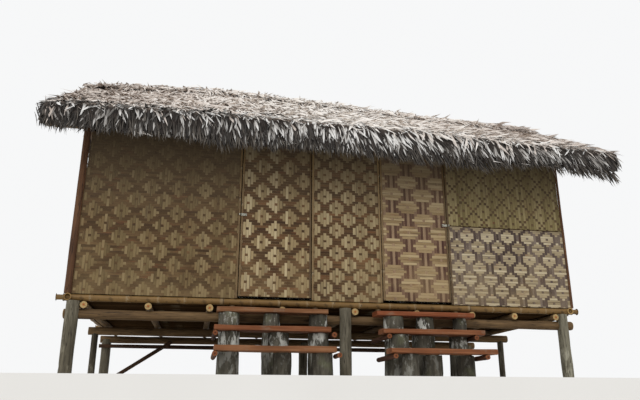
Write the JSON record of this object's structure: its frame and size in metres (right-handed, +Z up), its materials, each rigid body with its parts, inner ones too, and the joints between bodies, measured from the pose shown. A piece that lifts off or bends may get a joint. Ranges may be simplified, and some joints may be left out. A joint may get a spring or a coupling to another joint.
{
  "type": "stilt house",
  "caption": "Small thatched house on posts with woven bamboo walls, two inward-opening doors and two plank steps on log stumps.",
  "frame": {"origin": "middle of the whole plan, roof and steps included, at the level of the ground under the posts", "axes": "+X along the front wall to the right as seen from the front, +Y from the front to the rear, +Z up"},
  "size_m": [6.55, 4.0254, 3.9674],
  "materials": {
    "post_wood": "weathered grey round timber",
    "pole_wood": "dull brown poles",
    "dark_pole": "dark brown poles",
    "split_bamboo": "split bamboo, satin",
    "sill_bamboo": "bamboo pole, satin",
    "frame_bamboo": "bamboo poles, satin",
    "thatch": "dry palm leaves, matte",
    "woven_bamboo": "woven split bamboo in tan and brown",
    "dull_iron": "dull grey iron",
    "step_plank": "reddish brown sawn planks",
    "log_bark": "grey bark with white lichen"
  },
  "bodies": {
    "house": {"front_round_posts": "post_wood", "front_square_post": "post_wood", "middle_posts": "post_wood", "rear_posts": "post_wood", "beams": "pole_wood", "joists": "pole_wood", "rear_rail": "dark_pole", "rear_brace": "dark_pole", "floor_deck": "split_bamboo", "sills": "sill_bamboo", "corner_posts": "frame_bamboo", "door_posts": "frame_bamboo", "rear_studs": "frame_bamboo", "wall_plates": "frame_bamboo", "tie_beams": "frame_bamboo", "king_posts": "frame_bamboo", "ridge_pole": "frame_bamboo", "rafters": "frame_bamboo", "thatch_laths": "frame_bamboo", "front_thatch": "thatch", "rear_thatch": "thatch", "ridge_cap": "thatch", "front_wall_left": "woven_bamboo", "front_wall_middle": "woven_bamboo", "front_wall_right_lower": "woven_bamboo", "front_wall_right_upper": "woven_bamboo", "left_wall": "woven_bamboo", "right_wall": "woven_bamboo", "rear_wall": "woven_bamboo", "corner_strips": "dark_pole", "jamb_strips": "split_bamboo", "door_heads": "dark_pole", "hinge_pintles": "dull_iron", "door_staples": "dull_iron", "left_step_treads": "step_plank", "left_step_logs": "log_bark", "right_step_treads": "step_plank", "right_step_logs": "log_bark", "step_bearers": "dark_pole"},
    "left_door": {"left_door_leaf": "woven_bamboo", "left_door_frame": "split_bamboo", "left_door_fittings": "dull_iron"},
    "right_door": {"right_door_leaf": "woven_bamboo", "right_door_frame": "split_bamboo", "right_door_fittings": "dull_iron"}
  },
  "joints": [
    {"name": "left_door_hinge", "type": "hinge", "parent": "house", "child": "left_door", "pos_m": [-0.383, -1.24135, 1.7], "axis": [0, 0, -1], "range_deg": [0, 90]},
    {"name": "right_door_hinge", "type": "hinge", "parent": "house", "child": "right_door", "pos_m": [0.433, -1.24135, 1.7], "axis": [0, 0, 1], "range_deg": [0, 90]}
  ]
}
